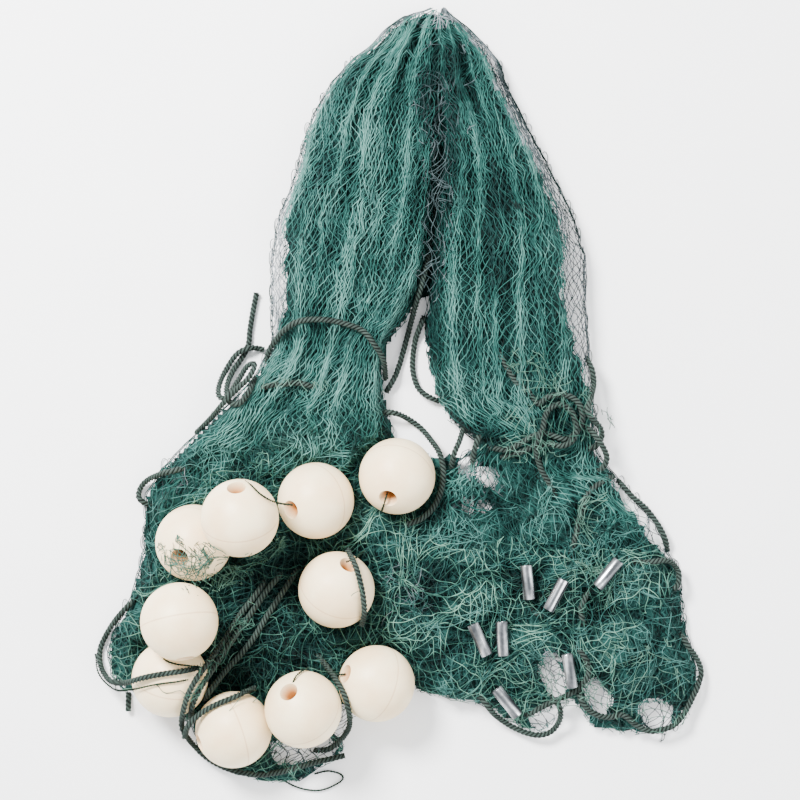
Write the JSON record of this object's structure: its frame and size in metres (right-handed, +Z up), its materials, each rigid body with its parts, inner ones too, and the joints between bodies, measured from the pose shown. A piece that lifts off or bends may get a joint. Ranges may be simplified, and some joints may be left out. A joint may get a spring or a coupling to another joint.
{
  "type": "fishing net",
  "caption": "Green fishing net gathered and folded over its crown, legs tied with rope, with round bored floats on one skirt and lead sinkers on the other.",
  "frame": {"origin": "middle of the net's outline on the surface it lies on", "axes": "+Y from the spread skirts to the folded crown, +X from the float side to the sinker side, +Z up"},
  "size_m": [0.6323, 0.8154, 0.1363],
  "materials": {
    "netting": "knotted polyethylene twine, slight sheen",
    "float": "smooth moulded plastic, satin",
    "sinker": "rolled lead, dull with bright ridges",
    "rope": "three-strand twisted rope, slight sheen",
    "cord": "thin twisted cord"
  },
  "bodies": {
    "root": {"netting": "netting", "float_01": "float", "float_02": "float", "float_03": "float", "float_04": "float", "float_05": "float", "float_06": "float", "float_07": "float", "float_08": "float", "float_09": "float", "float_10": "float", "sinker_01": "sinker", "sinker_02": "sinker", "sinker_03": "sinker", "sinker_04": "sinker", "sinker_05": "sinker", "sinker_06": "sinker", "sinker_07": "sinker", "left_tie": "rope", "left_cross": "rope", "hank_rope": "rope", "tail_rope": "rope", "crease_rope": "rope", "gap_rope": "rope", "arc_rope": "rope", "under_rope_1": "rope", "under_rope_2": "rope", "ring_rope": "rope", "knot_rope": "rope", "edge_loop_rope": "rope", "outer_loop_rope": "rope", "skirt_rope": "rope", "outline_rope": "rope", "lead_rope_1": "rope", "lead_rope_2": "rope", "lead_rope_3": "rope", "lead_rope_4": "rope", "lead_rope_5": "rope", "lead_rope_6": "rope", "left_loop_rope": "rope", "foot_loop_rope": "rope", "foot_loop_cord": "rope", "cut_end": "rope", "bundle_rope_1": "rope", "bundle_rope_2": "rope", "bundle_rope_3": "rope", "bundle_rope_4": "rope", "float_rope_8": "rope", "float_rope_5": "rope", "float_cord_1": "cord", "float_cord_2": "cord", "float_cord_5": "cord", "float_cord_6": "cord", "float_cord_7": "cord", "float_cord_8": "cord", "loop_cord": "cord"}
  },
  "joints": []
}
